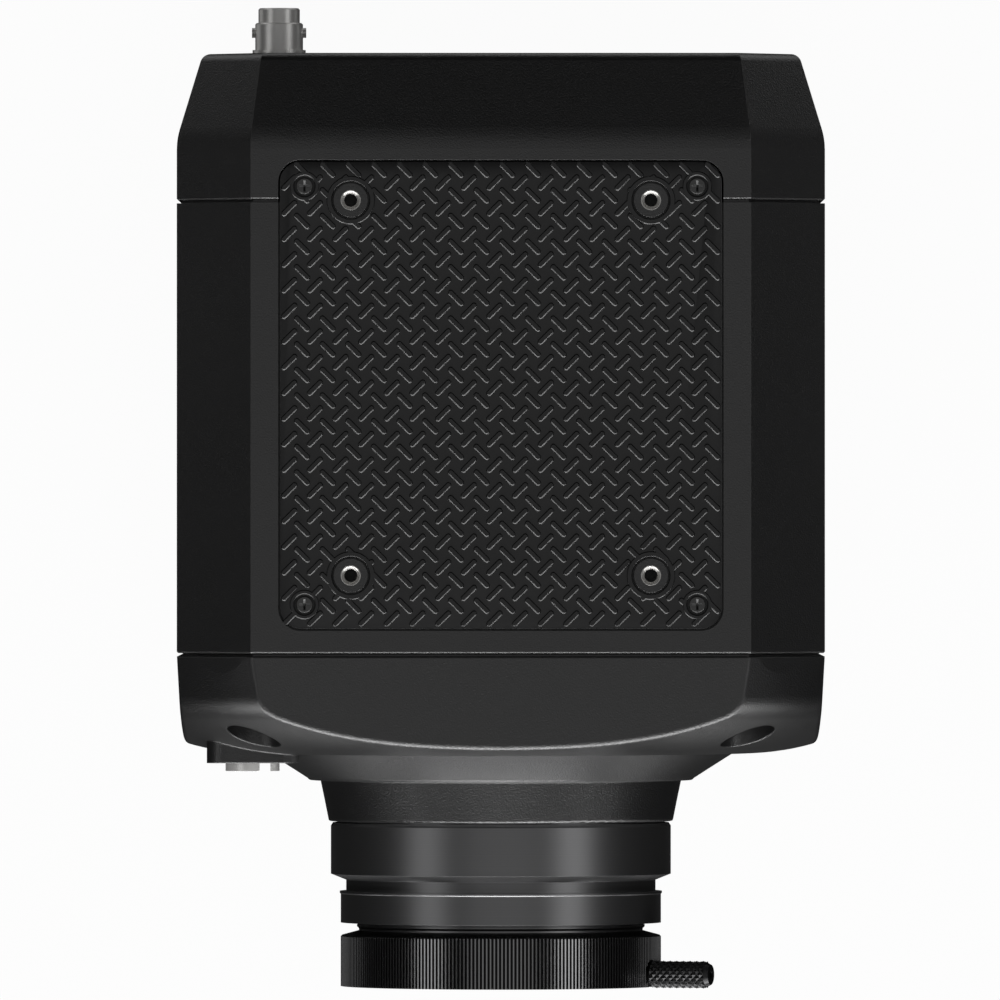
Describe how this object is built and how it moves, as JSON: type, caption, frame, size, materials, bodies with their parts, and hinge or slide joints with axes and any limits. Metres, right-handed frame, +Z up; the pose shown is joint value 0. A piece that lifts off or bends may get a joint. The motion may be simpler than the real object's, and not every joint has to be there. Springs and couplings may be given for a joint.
{
  "type": "high sensitivity camera",
  "caption": "Black box camera with an octagonal body, a domed front with a bayonet lens mount and locking lever, a tread plate on top and connectors at the rear.",
  "frame": {"origin": "mouth of the tripod bush in the underside", "axes": "+Z up, -Y out of the lens mount along the optical axis, +X to the right seen from the front with the lens towards the viewer's own side"},
  "size_m": [0.13, 0.1986, 0.124],
  "materials": {
    "body_paint": "satin black paint with a fine sand texture",
    "plate_paint": "satin black paint on a tread plate",
    "black_anodised": "black anodised, satin",
    "black_screw": "blackened steel",
    "bush_steel": "turned steel",
    "nickel": "nickel plate",
    "insulator": "moulded black plastic",
    "white_insulator": "white fluoropolymer",
    "contact_gold": "gold plate",
    "inlet_shell": "black die casting",
    "panel_paint": "satin black paint",
    "key_plastic": "moulded dark grey plastic",
    "board": "glass epoxy with green resist",
    "chip": "black moulding compound",
    "capacitor": "printed sleeve",
    "sensor_package": "brown ceramic package",
    "bare_aluminium": "bare",
    "clear_glass": "polished",
    "blue_glass": "coated, faint blue-green"
  },
  "bodies": {
    "camera": {"main_housing": "body_paint", "front_cover": "body_paint", "rear_cover": "body_paint", "top_plate": "plate_paint", "mount_base": "black_anodised", "mount_flange": "black_anodised", "lock_ring_retainer": "black_anodised", "sensor_carrier": "black_anodised", "top_plate_screws": "black_screw", "front_cover_screws": "black_screw", "rear_cover_screws": "black_screw", "rear_panel_screws": "black_screw", "mount_base_screws": "black_screw", "mount_flange_screws": "black_screw", "dc_inlet_screws": "black_screw", "sensor_carrier_screws": "black_screw", "accessory_inserts": "bush_steel", "tripod_bush_small": "bush_steel", "tripod_bush_large": "bush_steel", "filter_actuator": "bush_steel", "lower_board_posts": "bush_steel", "upper_board_posts": "bush_steel", "rear_board_posts": "bush_steel", "video_jack_shell": "nickel", "video_jack_nut": "nickel", "lens_connector_shell": "nickel", "remote_socket_shell": "nickel", "remote_socket_nut": "nickel", "lens_connector_insert": "insulator", "remote_socket_insert": "insulator", "dc_inlet_insert": "insulator", "key_switches": "insulator", "power_switch_body": "insulator", "video_jack_insulator": "white_insulator", "video_jack_contact": "contact_gold", "dc_inlet_pins": "contact_gold", "dc_inlet_shell": "inlet_shell", "rear_panel": "panel_paint", "rear_board": "board", "sensor_board": "board", "processor_board": "board", "power_board": "board", "processor_chip": "chip", "memory_chips": "chip", "power_parts": "capacitor", "image_sensor": "sensor_package", "heat_sink": "bare_aluminium", "sensor_heat_spreader": "bare_aluminium", "sensor_cover_glass": "clear_glass"},
    "lock_ring": {"lock_ring": "black_anodised", "lock_lever": "black_anodised"},
    "filter": {"filter_sector": "black_anodised", "ir_cut_filter": "blue_glass", "clear_filter": "clear_glass"},
    "power_switch": {"power_switch": "key_plastic"},
    "key_menu": {"key_menu": "key_plastic"},
    "key_set": {"key_set": "key_plastic"},
    "key_up": {"key_up": "key_plastic"},
    "key_down": {"key_down": "key_plastic"}
  },
  "joints": [
    {"name": "lock_ring_turn", "type": "hinge", "parent": "camera", "child": "lock_ring", "pos_m": [0, -0.0933, 0.062], "axis": [0, 1, 0], "range_deg": [0, 45]},
    {"name": "filter_swing", "type": "hinge", "parent": "camera", "child": "filter", "pos_m": [0, -0.0484, 0.04], "axis": [0, 1, 0], "range_deg": [0, 58]},
    {"name": "power_switch_slide", "type": "slide", "parent": "camera", "child": "power_switch", "axis": [1, 0, 0], "range_m": [0, 0.005]},
    {"name": "key_menu_press", "type": "slide", "parent": "camera", "child": "key_menu", "axis": [0, -1, 0], "range_m": [0, 0.0008], "stiffness_N_per_m": 1500},
    {"name": "key_set_press", "type": "slide", "parent": "camera", "child": "key_set", "axis": [0, -1, 0], "range_m": [0, 0.0008], "stiffness_N_per_m": 1500},
    {"name": "key_up_press", "type": "slide", "parent": "camera", "child": "key_up", "axis": [0, -1, 0], "range_m": [0, 0.0008], "stiffness_N_per_m": 1500},
    {"name": "key_down_press", "type": "slide", "parent": "camera", "child": "key_down", "axis": [0, -1, 0], "range_m": [0, 0.0008], "stiffness_N_per_m": 1500}
  ]
}
